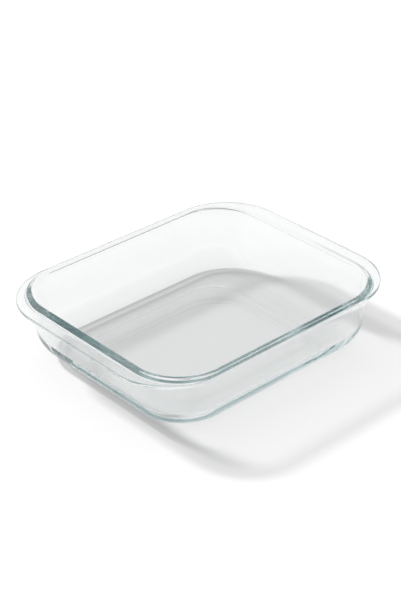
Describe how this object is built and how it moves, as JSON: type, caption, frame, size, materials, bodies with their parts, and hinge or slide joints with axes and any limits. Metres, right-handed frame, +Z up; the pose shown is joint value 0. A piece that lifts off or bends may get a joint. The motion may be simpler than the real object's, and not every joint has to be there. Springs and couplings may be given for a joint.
{
  "type": "glass baking dish",
  "caption": "Shallow clear glass baking dish with rounded corners, leaning walls, a foot ring, slim side rims and a wider handle rim at each end, for baking and serving.",
  "frame": {"origin": "middle of the base, on the surface that the foot ring stands on", "axes": "+X from handle to handle, +Z up"},
  "size_m": [0.2782, 0.2204, 0.06],
  "materials": {
    "glass": "clear fire-polished pressed glass, faintly blue-green where it is seen edge on"
  },
  "bodies": {
    "root": {"dish": "glass"}
  },
  "joints": []
}
